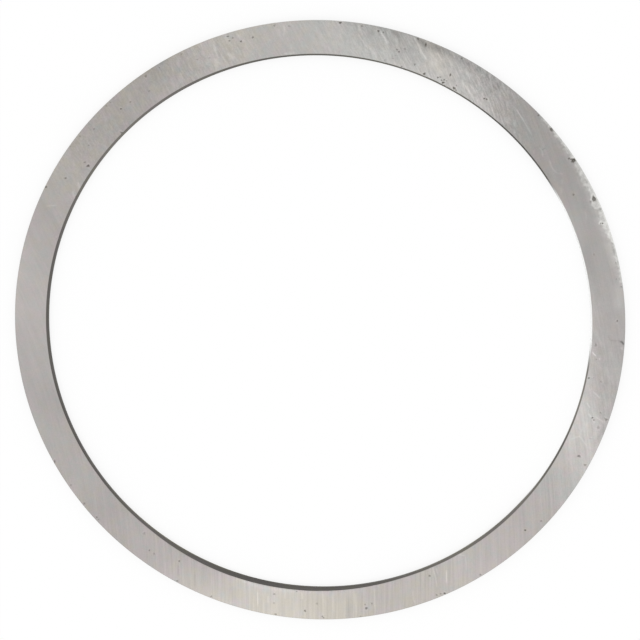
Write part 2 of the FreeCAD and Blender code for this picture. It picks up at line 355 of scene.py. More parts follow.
# Where the upper face is shaded along the bore's edge break, and over what share of its width
EDGE_SHADE_ZONES = ((262, 40, -0.09),)
EDGE_SHARE = 0.03

# How soon the yellow of the face sets in, counted from the bore's edge break
YELLOW_RISE = 3

# Where a highlight is painted on the bore, on its wall and on the edge break above it: first and last
# direction, and how many degrees each end takes to fade
HIGHLIGHT_WALL = (322, 391)
HIGHLIGHT_BREAK = (355, 391)
HIGHLIGHT_FADE = 8

# How raggedly and softly the worn bevel's painted highlight begins, how strong it is at its border, and how
# wide where it is full
RAGGED_WAVES = ((97, 0.09 * MM), (211, 0.07 * MM), (367, 0.06 * MM))
WORN_FADE = 0.5 * MM
WORN_START = 0.6
WORN_FULL = 0.25 * MM

# The painted highlight in a band along the worn rim: the width over which it fades, how many such widths in
# it ends, and where it is duller, in the same form as the changes of tone
RIM_HIGHLIGHT_BAND = 0.30 * MM
RIM_HIGHLIGHT_END = 1.3
RIM_HIGHLIGHT_ZONES = ((13, 5, -0.35),)

# The paler painted highlight beside the worn bevel: how far in it starts, and how strong it is
HAZE_HIGHLIGHT_REACH = 1.1 * MM
HAZE_HIGHLIGHT = 0.26

# The circles that refine the mesh over the worn bevel: their steps round the ring, in degrees, and across
# it, how far past the border they go, and their radius in pixels
WORN_TURN_STEP = 0.5
WORN_INSET_STEP = 0.3 * MM
WORN_MARGIN = 0.1 * MM
WORN_CIRCLE = 0.8

# The flecks on the worn bevel: how many, how far past its border, the reach of each as a share of its size,
# and the least and the most of their sizes, in pixels, and of their tones
WORN_FLECKS = 260
FLECK_MARGIN = 0.15 * MM
FLECK_REACH = 2
FLECK_SIZES = (0.6, 1.5)
FLECK_TONES = (-0.16, 0.14)

# The photo doesn't show the lower face, so its marks are of the same kinds but laid at random: how many,
# and the least and the most of their sizes in pixels, shapes (height over width), darkness and tones
BACK_PITS = 70
BACK_PIT_WIDTHS = (1.6, 3.6)
BACK_PIT_SHAPES = (0.7, 1.3)
BACK_PIT_DARKNESS = (0.4, 1.0)
BACK_SCRATCHES = 26
BACK_SCRATCH_LENGTHS = (6, 26)
BACK_SCRATCH_WIDTHS = (0.9, 1.4)
BACK_SCRATCH_TONES = (0.12, 0.3)

# How far round from the upper face's painted sheen and shade the lower face's are, in degrees
BACK_TURN = 140

# Colours of the steel and of what is on it; the worn and the near-white colours are painted highlights, the
# last three the bore's painted dark reflection
COOL_STEEL = (0.384, 0.386, 0.373, 1)
WARM_STEEL = (0.419, 0.381, 0.379, 1)
YELLOW_STEEL = (0.414, 0.388, 0.344, 1)
WORN_HIGHLIGHT_STEEL = (0.800, 0.800, 0.770, 1)
HIGHLIGHT_STEEL = (0.970, 0.970, 0.960, 1)
PIT_BROWN = (0.110, 0.102, 0.088)
OLIVE_DARK_REFLECTION = (0.102, 0.096, 0.079, 1)
PURPLE_DARK_REFLECTION = (0.097, 0.088, 0.084, 1)
YELLOW_DARK_REFLECTION = (0.128, 0.119, 0.078, 1)

# The grinding lines are arcs about this place
GRINDING_CENTRE = (-0.147, -0.041, 0)
GRINDING_RADIUS = 0.147

# Patterns that follow the grinding arcs: how fine across and along them, detail, and waviness
ARC_PATTERNS = {
    "hairlines": (11000, 120, 1, 0),
    "fine_lines": (2600, 90, 2, 0),
    "broad_lines": (700, 60, 3, 0),
    "ripples": (480, 190, 2, 0.5),
    "facets": (1150, 420, 2, 0.8),
    "ticks": (4000, 1100, 0, 0.6),
}
ARC_HEIGHT_SCALE = 3000
ARC_ROUGHNESS = 0.6

# Patterns that are alike in all directions: how fine, detail, and roughness
EVEN_PATTERNS = {
    "cloud": (150, 3, 0.55),
    "tint": (420, 2, 0.5),
    "small_tint": (1100, 2, 0.5),
    "straw": (760, 2, 0.5),
    "speck": (5200, 1, 0.5),
    "fleck": (2300, 2, 0.6),
    "mottle": (1100, 4, 0.65),
}

# The turning lines on the walls: how fine along each axis, detail, and roughness
TURNING_SCALES = (90, 90, 16000)
TURNING_DETAIL = 2
TURNING_ROUGHNESS = 0.6

# What the patterns change: pattern, its lowest and highest values that count, and the change there
CHANGES = {
    "lines": (
        ("hairlines", 0.3, 0.7, -0.06, 0.06),
        ("fine_lines", 0.3, 0.7, -0.065, 0.065),
        ("broad_lines", 0.3, 0.7, -0.085, 0.085),
    ),
    # The next two are painted light and shade of relief: ripples and facets, and ticks with a light and a
    # dark flank among flecks and specks
    "ripple_shading": (("ripples", 0.35, 0.65, -0.065, 0.065), ("facets", 0.35, 0.65, -0.05, 0.05)),
    "grain_and_ridge_shading": (
        ("ticks", 0.54, 0.72, 0, 0.20),
        ("ticks", 0.28, 0.46, -0.16, 0),
        ("fleck", 0.35, 0.65, -0.04, 0.04),
        ("speck", 0.35, 0.65, -0.05, 0.05),
    ),
    "cloudiness": (("cloud", 0.3, 0.7, -0.035, 0.035), ("speck", 0.35, 0.65, -0.025, 0.025)),
    "turning": (("turning", 0.3, 0.7, -0.16, 0.16),),
    "warm": (("tint", 0.35, 0.65, -0.35, 0.35), ("small_tint", 0.3, 0.7, -0.55, 0.55)),
    "yellow": (("straw", 0.3, 0.7, -0.4, 0.7),),
    "worn_and_highlight": (("mottle", 0.36, 0.64, 0.35, 0.85),),
    "pit_brown": (("fleck", 0.35, 0.65, 0.6, 1.6),),
    "pit_edge": (("speck", 0.35, 0.60, 0.70, 1.25),),
    "rough": (("broad_lines", 0.3, 0.7, 0.30, 0.42),),
}

# How warm the plain face is between its two colours, and how strong the painted highlight in the band along
# the worn rim is
PLAIN_WARMTH = 0.5
RIM_HIGHLIGHT_STRENGTH = 0.85

# How much rougher the bore's painted dark reflection and the pits are, and how much smoother the stretch with
# the painted highlight is
DARK_REFLECTION_ROUGHER = 0.3
PIT_ROUGHER = 0.25
HIGHLIGHT_SMOOTHER = 0.2

# The relief of the grinding lines: its strength, its depth, and the share of the finer lines in it
RELIEF_STRENGTH = 0.35
RELIEF_DEPTH = 0.03 * MM
FINE_RELIEF = 0.4

# Sockets of a node that mixes colours: the share, the two colours, and the result
MIX_SHARE, MIX_FIRST, MIX_SECOND, MIX_RESULT = 0, 6, 7, 2

# The stage, with the lamp's direction from the ring, distance, size and brightness
WHITE = (1, 1, 1, 1)
FLOOR_COLOUR = (0.97, 0.97, 0.97, 1)
FLOOR_RADIUS = 3.0
FLOOR_SIDES = 64
FLOOR_GAP = 0.01 * MM
FLOOR_WHITE_SHARE = 0.8
SKY_STRENGTH = 1.0
LAMP_WAY = (-0.08, -0.50, 0.85)
LAMP_DISTANCE = 0.8
LAMP_SIZE = 0.34
LAMP_BRIGHTNESS = 0.9


def camera_axes():
    """Work out the camera's right, up and backward directions."""
    back = (CAMERA_PLACE - CAMERA_AIM).normalized()
    right = Vector((0, 1, 0)).cross(back).normalized()
    return right, back.cross(right), back


def photo_positions(points):
    """Find the photo's pixels that show these points, from its left and upper edges."""
    right, up, back = (np.array(axis) for axis in camera_axes())
    away = points - np.array(CAMERA_PLACE)
    pixels_per_metre = PHOTO_PIXELS * LENS / SENSOR
    depth = -(away @ back)
    half = PHOTO_PIXELS / 2
    return np.column_stack((
        half + (away @ right) / depth * pixels_per_metre,
        half - (away @ up) / depth * pixels_per_metre,
    ))


def face_pixel(turn, radius):
    """Find the pixel of a place on the upper face. Its direction is in radians."""
    place = (radius * math.cos(turn), radius * math.sin(turn), THICKNESS)
    return photo_positions(np.array([place]))[0]


def degrees_from(direction, directions):
    """Work out how far directions are from one of them, to either side."""
    return (directions - direction + 180) % 360 - 180


def direction_bumps(directions, bumps):
    """Add up smooth bumps: direction, half width and height of each."""
    total = np.zeros(len(directions))
    for direction, half_width, height in bumps:
        total += height * np.exp(-((degrees_from(direction, directions) / half_width) ** 2))
    return total


def bore_break_widths(directions):
    """Work out the width of the bore's upper edge break."""
    offset = (HEAVY_BREAK - BORE_BREAK) / (1 - math.cos(math.radians(HEAVY_HALF_SPAN)))
    away = np.radians(directions - HEAVY_DIRECTION)
    heavy = HEAVY_BREAK - offset * (1 - np.cos(away))
    return np.maximum(heavy, BORE_BREAK) + direction_bumps(directions, BREAK_WAVER) * MM


def worn_widths(directions):
    """Work out how far in from the rim the worn bevel reaches."""
    border = np.array(WORN_BORDER)
    return np.interp(directions, border[:, 0], border[:, 1] * MM, left=0, right=0)


def smooth_step(value):
    """Ease from 0 to 1 as the value goes from 0 to 1."""
    value = np.clip(value, 0, 1)
    return value * value * (3 - 2 * value)


def ring_positions(directions, stations):
    """Lay out points of the plain ring from their directions and stations."""
    width = bore_break_widths(directions)
    corners = (
        (BORE_RADIUS, THICKNESS / 2),
        (BORE_RADIUS, THICKNESS - width),
        (BORE_RADIUS + width, THICKNESS),
        (OUTSIDE_RADIUS - OUTER_BREAK, THICKNESS),
        (OUTSIDE_RADIUS, THICKNESS - OUTER_BREAK),
        (OUTSIDE_RADIUS, OUTER_BREAK),
        (OUTSIDE_RADIUS - OUTER_BREAK, 0),
        (BORE_RADIUS + BORE_BREAK, 0),
        (BORE_RADIUS, BORE_BREAK),
        (BORE_RADIUS, THICKNESS / 2),
    )
    section = np.empty((len(corners), 2, len(directions)))
    for place, (radius, height) in zip(section, corners):
        place[0] = radius
        place[1] = height
    part = np.minimum(stations.astype(int), len(corners) - 2)
    share = stations - part
    points = np.arange(len(directions))
    radius, height = section[part, :, points].T * (1 - share) + section[part + 1, :, points].T * share
    turn = np.radians(directions)
    return np.column_stack((radius * np.cos(turn), radius * np.sin(turn), height))


def section_stations():
    """List the stations round the section: whole numbers are its corners."""
    stations = []
    for part, (_, steps) in enumerate(SECTION_STEPS):
        shares = [step / steps for step in range(steps)]
        if part in (FACE_INNER, BACK_OUTER):
            shares = [0, FACE_SUPPORT, *shares[1:], 1 - FACE_SUPPORT]
        stations += [part + share for share in shares]
    return stations


def closed_grid():
    """Build the ring as a closed grid that remembers each point's station."""
    grid = bmesh.new()
    layer = grid.verts.layers.float.new("station")
    stations = section_stations()
    across = len(stations)
    directions = np.repeat(np.arange(ROUND_STEPS) * 360 / ROUND_STEPS, across)
    positions = ring_positions(directions, np.tile(np.array(stations), ROUND_STEPS))
    points = []
    for index, position in enumerate(positions):
        point = grid.verts.new(position)
        point[layer] = stations[index % across]
        points.append(point)
    for turn in range(ROUND_STEPS):
        here = turn * across
        there = (turn + 1) % ROUND_STEPS * across
        for row in range(across):
            after = (row + 1) % across
            corners = (here + row, there + row, there + after, here + after)
            grid.faces.new([points[corner] for corner in corners])
    return grid, layer


def circles_along(stroke):
    """Cover a stroke with circles: x, y and radius in pixels."""
    width, _, *points = stroke
    circles = []
    for start, end in zip(points, points[1:]):
        count = max(1, round(math.dist(start, end) / CIRCLE_STEP))
        for share in np.linspace(0, 1, count + 1):
            x, y = Vector(start).lerp(end, share)
            circles.append((x, y, width / 2))
    return circles


def mark_circles(pits, strokes):
    """Cover pits and strokes with circles."""
    circles = [(x, y, max(width, height) / 2) for x, y, width, height, _ in pits]
    for stroke in strokes:
        circles += circles_along(stroke)
    return circles


def worn_circles():
    """Cover the worn bevel with circles."""
    circles = []
    for direction in np.arange(WORN_BORDER[0][0], WORN_BORDER[-1][0], WORN_TURN_STEP):
        turn = math.radians(direction)
        for inset in np.arange(0, worn_widths(direction) + WORN_MARGIN, WORN_INSET_STEP):
            circles.append((*face_pixel(turn, OUTSIDE_RADIUS - inset), WORN_CIRCLE))
    return circles


def refine(grid, layer, lowest, highest, circles, margin):
    """Split the faces between two stations in four where they are near the circles."""
    faces = []
    for face in grid.faces:
        if all(lowest <= point[layer] <= highest for point in face.verts):
            faces.append(face)
    centres = photo_positions(np.array([face.calc_center_median() for face in faces]))
    tree = KDTree(len(faces))
    for index, (x, y) in enumerate(centres):
        tree.insert((x, y, 0), index)
    tree.balance()
    edges = set()
    for x, y, radius in circles:
        for _, index, _ in tree.find_range((x, y, 0), radius + margin):
            edges.update(faces[index].edges)
    grid.edges.index_update()
    edges = sorted(edges, key=lambda edge: edge.index)
    bmesh.ops.subdivide_edges(grid, edges=edges, cuts=1, use_grid_fill=True)


def refined_mesh(back_pits, back_scratches):
    """Make the ring's mesh, finer near its marks, and list its points and their stations."""
    grid, layer = closed_grid()
    upper = mark_circles(PITS + NICKS, SCRATCHES) + worn_circles()
    lower = mark_circles(back_pits, back_scratches)
    refine(grid, layer, BORE_TOP, RIM_TOP, upper + mark_circles((), SOFT_STREAKS), COARSE_MARGIN)
    refine(grid, layer, BORE_TOP, RIM_TOP, upper, FINE_MARGIN)
    refine(grid, layer, RIM_BOTTOM, BORE_BOTTOM, lower, COARSE_MARGIN)
    refine(grid, layer, RIM_BOTTOM, BORE_BOTTOM, lower, FINE_MARGIN)
    stations = np.array([point[layer] for point in grid.verts])
    positions = np.array([point.co for point in grid.verts])
    mesh = bpy.data.meshes.new("shim_ring_steel")
    grid.to_mesh(mesh)
    grid.free()
    return mesh, positions, stations


def place_on_stroke(pixels, points):
    """Find how far pixels are from a stroke, and at what share of its length."""
    nearest = np.full(len(pixels), np.inf)
    along = np.zeros(len(pixels))
    length = 0
    for start, end in zip(points, points[1:]):
        run = np.subtract(end, start)
        share = np.clip((pixels - start) @ run / (run @ run), 0, 1)
        away = np.linalg.norm(pixels - start - share[:, None] * run, axis=1)
        closer = away < nearest
        nearest[closer] = away[closer]
        along[closer] = length + share[closer] * math.dist(start, end)
        length += math.dist(start, end)
    return nearest, along / length


class Marks:
    """The marks of one face: their depth, how dark they are, and how they change its tone."""

    def __init__(self, pixels):
        self.pixels = pixels
        self.depth = np.zeros(len(pixels))
        self.dark = np.zeros(len(pixels))
        self.tone = np.zeros(len(pixels))

    def near(self, x, y, reach):
        """Pick the points close to a place."""
        gap = np.abs(self.pixels - (x, y))
        return np.flatnonzero((gap[:, 0] < reach) & (gap[:, 1] < reach))

    def add_pits(self, pits, full_depth, random):
        """Sink pits with uneven outlines, darken them, and paint a highlight on one side of their lips."""
        for x, y, width, height, dark in pits:
            dark = PIT_DARKEST * dark ** PIT_EASE
            picked = self.near(x, y, PIT_REACH * max(width, height))
            offset = (self.pixels[picked] - (x, y)) / (PIT_RADIUS * width, PIT_RADIUS * height)
            angle = np.arctan2(offset[:, 1], offset[:, 0])
            outline = np.ones(len(picked))
            for lobes, size in PIT_LOBES:
                outline += size * np.sin(lobes * angle + random.uniform(0, math.tau))
            share = np.linalg.norm(offset, axis=1) / outline
            bowl = full_depth * smooth_step((BOWL_END - share) / BOWL_SLOPE)
            shade = dark * smooth_step((SHADE_END - share) / SHADE_SLOPE)
            lit_side = (1 + np.cos(angle - random.uniform(0, math.tau))) / 2
            lip = np.exp(-(((share - LIP_PLACE) / LIP_WIDTH) ** 2))
            self.depth[picked] = np.maximum(self.depth[picked], bowl)
            self.dark[picked] = np.maximum(self.dark[picked], shade)
            self.tone[picked] += LIP_HIGHLIGHT * dark * lit_side * lip

    def add_strokes(self, strokes, full_depth):
        """Draw strokes that thin out to their sides and ends, and cut them in to a depth."""
        for width, tone, *points in strokes:
            lowest = np.min(points, axis=0)
            highest = np.max(points, axis=0)
            # two widths and a pixel away from a stroke, nothing of it is left
            reach = max(highest - lowest) / 2 + 2 * width + 1
            picked = self.near(*(lowest + highest) / 2, reach)
            away, along = place_on_stroke(self.pixels[picked], points)
            strength = np.exp(-((away / (width / 2)) ** 2) * STROKE_FALL)
            strength *= smooth_step(STROKE_TAPER * np.minimum(along, 1 - along) + STROKE_END)
            self.tone[picked] += tone * strength
            self.depth[picked] = np.maximum(self.depth[picked], full_depth * strength)

    def add_worn_flecks(self, random):
        """Scatter small soft flecks, light and dark, over the worn bevel."""
        for _ in range(WORN_FLECKS):
            direction = random.uniform(WORN_BORDER[0][0], WORN_BORDER[-1][0])
            inset = random.uniform(0, worn_widths(direction) + FLECK_MARGIN)
            size = random.uniform(*FLECK_SIZES)
            tone = random.uniform(*FLECK_TONES)
            x, y = face_pixel(math.radians(direction), OUTSIDE_RADIUS - inset)
            picked = self.near(x, y, FLECK_REACH * size)
            away = np.linalg.norm(self.pixels[picked] - (x, y), axis=1)
            self.tone[picked] += tone * np.exp(-((away / size) ** 2))


def random_spot(random):
    """Pick a place on one of the faces, as a pixel."""
    radius = random.uniform(BORE_RADIUS + 2 * BORE_BREAK, OUTSIDE_RADIUS - 2 * OUTER_BREAK)
    return face_pixel(random.uniform(0, math.tau), radius)


def random_back_marks(random):
    """Scatter pits and scratches over the lower face."""
    pits = []
    for _ in range(BACK_PITS):
        x, y = random_spot(random)
        width = random.uniform(*BACK_PIT_WIDTHS)
        height = width * random.uniform(*BACK_PIT_SHAPES)
        pits.append((x, y, width, height, random.uniform(*BACK_PIT_DARKNESS)))
    scratches = []
    for _ in range(BACK_SCRATCHES):
        x, y = random_spot(random)
        length = random.uniform(*BACK_SCRATCH_LENGTHS)
        turn = random.uniform(0, math.pi)
        end = (x + length * math.cos(turn), y + length * math.sin(turn))
        width = random.uniform(*BACK_SCRATCH_WIDTHS)
        scratches.append((width, random.uniform(*BACK_SCRATCH_TONES), (x, y), end))
    return pits, scratches


def worn_drop(radii, directions):
    """Work out how deep the worn bevel is, and how strongly its painted highlight and the painted band along
    its rim show.
    """
    widths = worn_widths(directions)
    past_border = radii - (OUTSIDE_RADIUS - widths)
    ragged = past_border.copy()
    for count, size in RAGGED_WAVES:
        ragged += size * np.sin(np.radians(directions * count) + count)
    core = smooth_step(ragged / WORN_FADE + WORN_START)
    haze_highlight = HAZE_HIGHLIGHT * smooth_step(1 + past_border / HAZE_HIGHLIGHT_REACH)
    worn_and_highlight = np.maximum(core, haze_highlight) * smooth_step(widths / WORN_FULL)
    rim_highlight = smooth_step((past_border - widths) / RIM_HIGHLIGHT_BAND + RIM_HIGHLIGHT_END) * smooth_step(widths / RIM_HIGHLIGHT_BAND)
    rim_highlight *= 1 + direction_bumps(directions, RIM_HIGHLIGHT_ZONES)
    return np.maximum(past_border, 0) * WORN_SLOPE * (widths > 0), worn_and_highlight, rim_highlight


def lean_directions(positions, directions, radii):
    """Follow the grinding arcs from points to the middle of the face, for their directions there."""
    middle = (BORE_RADIUS + OUTSIDE_RADIUS) / 2
    away = positions[:, :2] - np.array(GRINDING_CENTRE[:2])
    turned = (away * positions[:, :2]).sum(axis=1) / radii
    outward = (away[:, 0] * positions[:, 1] - away[:, 1] * positions[:, 0]) / radii
    ratio = turned * outward / (outward ** 2 + LEAN_SOFTENING ** 2)
    lean = np.degrees((radii - middle) * ratio / middle) * ZONE_LEAN
    return directions - np.clip(lean, -MOST_LEAN, MOST_LEAN)


def stretch_share(directions, stretch):
    """Ease from 0 outside a stretch of directions to 1 inside it."""
    first, last = stretch
    away = np.abs(degrees_from((first + last) / 2, directions))
    return smooth_step(((last - first) / 2 - away) / HIGHLIGHT_FADE + 0.5)


class Points:
    """The places of the mesh's points on the plain ring, before its marks are cut in."""

    def __init__(self, positions, stations):
        self.stations = stations
        self.directions = np.degrees(np.arctan2(positions[:, 1], positions[:, 0])) % 360
        self.positions = ring_positions(self.directions, stations)
        self.radii = np.hypot(self.positions[:, 0], self.positions[:, 1])
        over = self.positions.copy()
        over[:, 2] = THICKNESS
        self.pixels = photo_positions(over)
        # the marks of each face fade out down the walls
        self.upper_share = np.clip(stations, 0, 1) * np.clip(RIM_BOTTOM - stations, 0, 1)
        self.lower_share = np.clip(stations - RIM_TOP, 0, 1) * np.clip(BORE_BOTTOM + 1 - stations, 0, 1)

    def between(self, first, last):
        """Say which points lie between two corners of the section, or on them."""
        return (self.stations > first - AT_CORNER) & (self.stations < last + AT_CORNER)

    def looks(self, upper, lower, worn_and_highlight, rim_highlight):
        """Work out the numbers that the material reads."""
        directions = self.directions
        leaning = lean_directions(self.positions, directions, self.radii)
        in_bore = self.between(0, FACE_INNER) | self.between(BACK_INNER, BORE_BOTTOM + 1)
        on_break = self.between(BORE_TOP, FACE_INNER)
        on_top = self.between(BORE_TOP, RIM_TOP)
        across = (self.radii - BORE_RADIUS) / BAND_WIDTH
        break_share = bore_break_widths(directions) / BAND_WIDTH

        # painted sheen and shade round the ring; the lower face gets the same, turned round
        upper_tone = upper.tone + direction_bumps(leaning, SHEEN_AND_SHADE_ZONES)
        upper_tone += direction_bumps(leaning, ACROSS_ZONES) * (2 * across - 1)
        upper_tone += direction_bumps(directions, EDGE_SHADE_ZONES) * (across < EDGE_SHARE + break_share)
        lower_tone = lower.tone + direction_bumps(leaning + BACK_TURN, SHEEN_AND_SHADE_ZONES)
        face_tone = np.where(on_top, upper_tone, lower_tone * self.lower_share)
        dark_reflection_tone = direction_bumps(directions, DARK_REFLECTION_ZONES) + np.where(on_break, BREAK_TONE, 0)
        yellow = direction_bumps(leaning, YELLOW_ZONES) * smooth_step(YELLOW_RISE * (across - break_share))
        wall_yellow = direction_bumps(directions, WALL_YELLOW_ZONES) * ~on_break
        highlight_wall = stretch_share(directions, HIGHLIGHT_WALL)
        highlight_break = stretch_share(directions, HIGHLIGHT_BREAK)
        # the bore gets a painted dark reflection and a painted highlight, and the worn bevel and its rim a
        # painted highlight
        looks = {
            "dark_reflection": in_bore,
            "painted_highlight": np.where(on_break, highlight_break, highlight_wall) * in_bore,
            "wall": self.between(RIM_TOP, RIM_BOTTOM),
            "worn_and_highlight": worn_and_highlight * self.upper_share,
            "rim_highlight": rim_highlight * self.upper_share,
            "dark": upper.dark * self.upper_share + lower.dark * self.lower_share,
            "tone": np.where(in_bore, dark_reflection_tone, face_tone),
            "yellow": np.where(in_bore, wall_yellow, yellow),
        }
        for name, (elsewhere, zones) in SURFACE_ZONES.items():
            looks[name] = elsewhere + direction_bumps(leaning, zones)
        return looks


def mark_sharp_edges(mesh, stations):
    """Keep the section's corners crisp, but for the first, in the middle of the bore's wall."""
    corners = (np.abs(stations - np.round(stations)) < AT_CORNER) & (stations > 0.5)
    ends = np.zeros(len(mesh.edges) * 2, np.int32)
    mesh.edges.foreach_get("vertices", ends)
    start, end = ends.reshape(-1, 2).T
    sharp = corners[start] & corners[end] & (np.abs(stations[start] - stations[end]) < AT_CORNER)
    mesh.attributes.new("sharp_edge", "BOOLEAN", "EDGE").data.foreach_set("value", sharp)


def add_object(name, data):
    """Put an object into the scene."""
    thing = bpy.data.objects.new(name, data)
    bpy.context.scene.collection.objects.link(thing)
    return thing


def build_ring(material):
    """Build the ring as one closed mesh, with its wear, dents, pits and scratches cut in."""
    random = np.random.default_rng(SEED)
    back_pits, back_scratches = random_back_marks(random)
    mesh, positions, stations = refined_mesh(back_pits, back_scratches)
    points = Points(positions, stations)

    upper = Marks(points.pixels)
    upper.add_pits(PITS, PIT_DEPTH, random)
    upper.add_pits(NICKS, NICK_DEPTH, random)
    upper.add_strokes(SCRATCHES, SCRATCH_DEPTH)
    upper.add_strokes(SOFT_STREAKS, 0)
    upper.add_worn_flecks(random)
    lower = Marks(points.pixels)
    lower.add_pits(back_pits, PIT_DEPTH, random)
    lower.add_strokes(back_scratches, SCRATCH_DEPTH)

    drop, worn_and_highlight, rim_highlight = worn_drop(points.radii, points.directions)
    positions = points.positions.copy()
    positions[:, 2] -= points.upper_share * (drop + upper.depth)
    positions[:, 2] += points.lower_share * lower.depth
    mesh.vertices.foreach_set("co", positions.ravel())
    for name, values in points.looks(upper, lower, worn_and_highlight, rim_highlight).items():
        attribute = mesh.attributes.new(name, "FLOAT", "POINT")
        attribute.data.foreach_set("value", np.ascontiguousarray(values, dtype=np.float32))
    mark_sharp_edges(mesh, stations)
    mesh.polygons.foreach_set("use_smooth", np.ones(len(mesh.polygons), bool))
    mesh.materials.append(material)
    mesh.update()
    return add_object("shim_ring_steel", mesh)


class Nodes:
    """Adds and links the shader nodes of one tree."""

    def __init__(self, tree):
        self.tree = tree
        tree.nodes.clear()

    def add(self, kind, inputs=(), **settings):
        """Add a node, and give its inputs values or links."""
        node = self.tree.nodes.new(kind)
        for name, value in settings.items():
            setattr(node, name, value)
        for name, value in dict(inputs).items():
            if isinstance(value, bpy.types.NodeSocket):
                self.tree.links.new(value, node.inputs[name])
            else:
                node.inputs[name].default_value = value
        return node

    def combine(self, operation, *numbers, clamp=False):
        """Combine numbers one after another. Clamped, the result keeps between 0 and 1."""
        result = numbers[0]
        for number in numbers[1:]:
            result = self.add("ShaderNodeMath", {0: result, 1: number}, operation=operation).outputs[0]
        if clamp:
            result.node.use_clamp = True
        return result

    def total(self, *numbers, **settings):
        """Add numbers up."""
        return self.combine("ADD", *numbers, **settings)

    def product(self, *numbers, **settings):
        """Multiply numbers."""
        return self.combine("MULTIPLY", *numbers, **settings)

    def attribute(self, name):
        """Read one of the mesh's numbers."""
        return self.add("ShaderNodeAttribute", attribute_name=name).outputs["Fac"]

    def noise(self, vector, scale, detail, roughness, waviness=0):
        """Make soft noise."""
        inputs = {"Vector": vector, "Scale": scale, "Detail": detail, "Roughness": roughness}
        inputs["Distortion"] = waviness
        return self.add("ShaderNodeTexNoise", inputs).outputs["Fac"]

    def remap(self, value, low, high, to_low, to_high):
        """Stretch a number from one range to another."""
        inputs = {"Value": value, "From Min": low, "From Max": high, "To Min": to_low, "To Max": to_high}
        return self.add("ShaderNodeMapRange", inputs).outputs["Result"]

    def mix(self, share, first, second):
        """Mix two colours."""
        inputs = {MIX_SHARE: share, MIX_FIRST: first, MIX_SECOND: second}
        return self.add("ShaderNodeMix", inputs, data_type="RGBA").outputs[MIX_RESULT]

    def mix_shaders(self, share, first, second):
        """Mix two shaders."""
        return self.add("ShaderNodeMixShader", {0: share, 1: first, 2: second}).outputs[0]

    def scale_colour(self, colour, factor):
        """Lighten or darken a colour."""
        inputs = {0: colour, "Scale": factor}
        return self.add("ShaderNodeVectorMath", inputs, operation="SCALE").outputs["Vector"]


def new_material(name, kind=Nodes):
    """Make a material, and what adds nodes to it."""
    material = bpy.data.materials.new(name)
    material.use_nodes = True
    return material, kind(material.node_tree)


def steel_patterns(nodes):
    """Make the patterns of the ground steel, by name. Some of them follow the grinding arcs."""
    position = nodes.add("ShaderNodeTexCoord").outputs["Object"]
    moved = nodes.add("ShaderNodeVectorMath", {0: position, 1: GRINDING_CENTRE}, operation="SUBTRACT")
    x, y, z = nodes.add("ShaderNodeSeparateXYZ", {0: moved.outputs["Vector"]}).outputs
    square = nodes.total(nodes.product(x, x), nodes.product(y, y))
    out = nodes.add("ShaderNodeMath", {0: square}, operation="SQRT").outputs[0]
    along = nodes.product(nodes.combine("ARCTAN2", y, x), GRINDING_RADIUS)
    patterns = {}
    for name, (across_scale, along_scale, detail, waviness) in ARC_PATTERNS.items():
        vector = nodes.add("ShaderNodeCombineXYZ", {
            "X": nodes.product(out, across_scale),
            "Y": nodes.product(along, along_scale),
            "Z": nodes.product(z, ARC_HEIGHT_SCALE),
        }).outputs["Vector"]
        patterns[name] = nodes.noise(vector, 1, detail, ARC_ROUGHNESS, waviness)
    for name, (scale, detail, roughness) in EVEN_PATTERNS.items():
        patterns[name] = nodes.noise(position, scale, detail, roughness)
    vector = nodes.add("ShaderNodeVectorMath", {0: position, 1: TURNING_SCALES}, operation="MULTIPLY")
    patterns["turning"] = nodes.noise(vector.outputs["Vector"], 1, TURNING_DETAIL, TURNING_ROUGHNESS)
    return patterns


